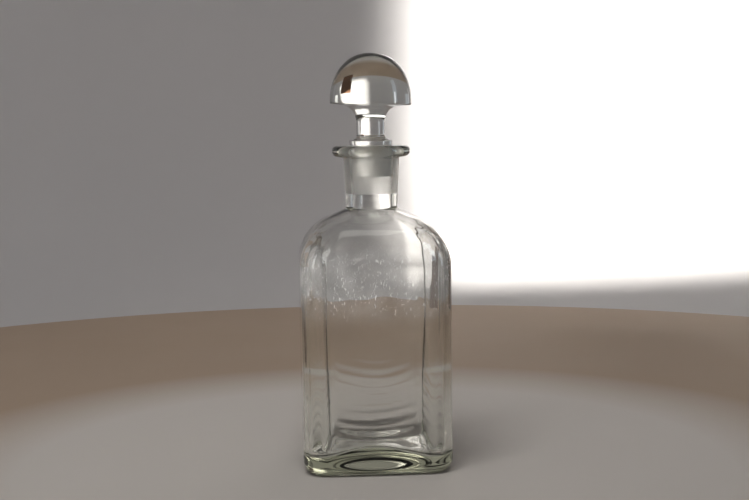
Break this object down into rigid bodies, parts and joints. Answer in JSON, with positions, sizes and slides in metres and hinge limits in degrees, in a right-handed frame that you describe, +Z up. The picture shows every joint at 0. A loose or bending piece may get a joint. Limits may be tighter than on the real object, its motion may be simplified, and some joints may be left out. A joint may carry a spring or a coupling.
{
  "type": "stoppered glass bottle",
  "caption": "Square clear glass bottle with arched shoulders, a short ground neck and a solid mushroom-headed ground glass stopper.",
  "frame": {"origin": "middle of the base, on the surface the bottle stands on", "axes": "+Z up along the neck and the stopper; the front face of the square body looks along -Y"},
  "size_m": [0.087, 0.087, 0.24],
  "materials": {
    "bottle_glass": "clear moulded glass with a faint grey-green tint, gloss outside, ground matt inside the neck",
    "stopper_glass": "clear solid pressed glass, fire-polished head and stem, ground matt plug"
  },
  "bodies": {
    "bottle": {"bottle": "bottle_glass"},
    "stopper": {"stopper": "stopper_glass"}
  },
  "joints": [
    {"name": "stopper_lift", "type": "slide", "parent": "bottle", "child": "stopper", "axis": [0, 0, 1], "range_m": [0, 0.05]}
  ]
}
